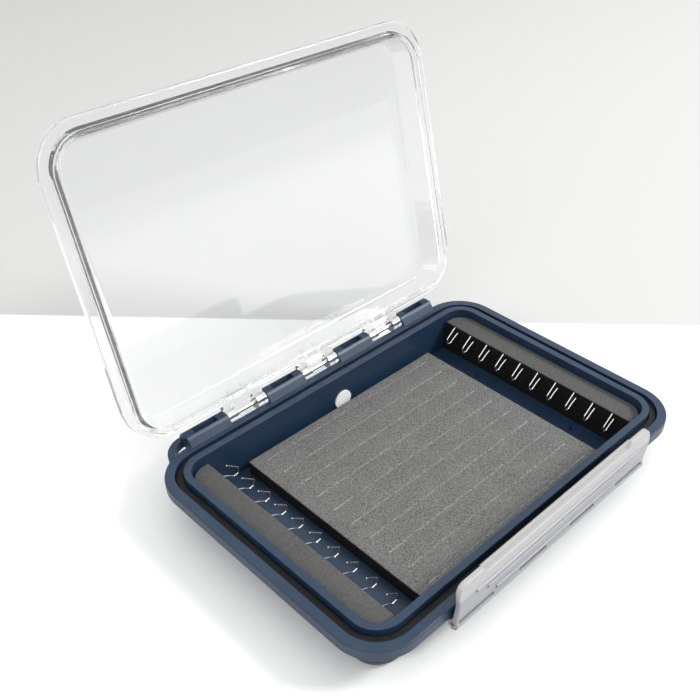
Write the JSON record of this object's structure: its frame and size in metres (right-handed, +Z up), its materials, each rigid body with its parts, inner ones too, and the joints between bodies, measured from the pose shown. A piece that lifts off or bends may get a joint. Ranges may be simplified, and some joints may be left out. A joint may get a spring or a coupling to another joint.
{
  "type": "fly box",
  "caption": "Pocket box for fishing flies: coloured tub with seal, clear hinged lid, frosted latch, slit foam pad and rows of wire clips along the short walls",
  "frame": {"origin": "centre of the base's underside, where it rests", "axes": "+X along the hinge, +Y towards the hinge, +Z up; the latch is on the -Y side"},
  "size_m": [0.1512, 0.1437, 0.1223],
  "materials": {
    "navy_plastic": "satin",
    "seal_rubber": "matte",
    "pin_steel": "polished",
    "pad_foam": "matte",
    "block_foam": "matte",
    "white_plastic": "satin",
    "clear_plastic": "gloss",
    "frosted_plastic": "satin",
    "clip_wire": "polished"
  },
  "bodies": {
    "base": {"base_tub": "navy_plastic", "gasket_seal": "seal_rubber", "hinge_pin": "pin_steel", "latch_pin": "pin_steel", "slit_foam_pad": "pad_foam", "left_clip_block": "block_foam", "right_clip_block": "block_foam", "indicator_disc": "white_plastic", "wire_clip_left_01": "clip_wire", "wire_clip_left_02": "clip_wire", "wire_clip_left_03": "clip_wire", "wire_clip_left_04": "clip_wire", "wire_clip_left_05": "clip_wire", "wire_clip_left_06": "clip_wire", "wire_clip_left_07": "clip_wire", "wire_clip_left_08": "clip_wire", "wire_clip_left_09": "clip_wire", "wire_clip_left_10": "clip_wire", "wire_clip_right_01": "clip_wire", "wire_clip_right_02": "clip_wire", "wire_clip_right_03": "clip_wire", "wire_clip_right_04": "clip_wire", "wire_clip_right_05": "clip_wire", "wire_clip_right_06": "clip_wire", "wire_clip_right_07": "clip_wire", "wire_clip_right_08": "clip_wire", "wire_clip_right_09": "clip_wire", "wire_clip_right_10": "clip_wire"},
    "lid": {"lid": "clear_plastic"},
    "latch": {"latch": "frosted_plastic"}
  },
  "joints": [
    {"name": "lid_hinge", "type": "hinge", "parent": "base", "child": "lid", "pos_m": [0, 0.0551, 0.01727], "axis": [1, 0, 0], "range_deg": [0, 103.4]},
    {"name": "latch_hinge", "type": "hinge", "parent": "base", "child": "latch", "pos_m": [0, -0.0536, 0.011], "axis": [1, 0, 0], "range_deg": [-8, 107]}
  ]
}
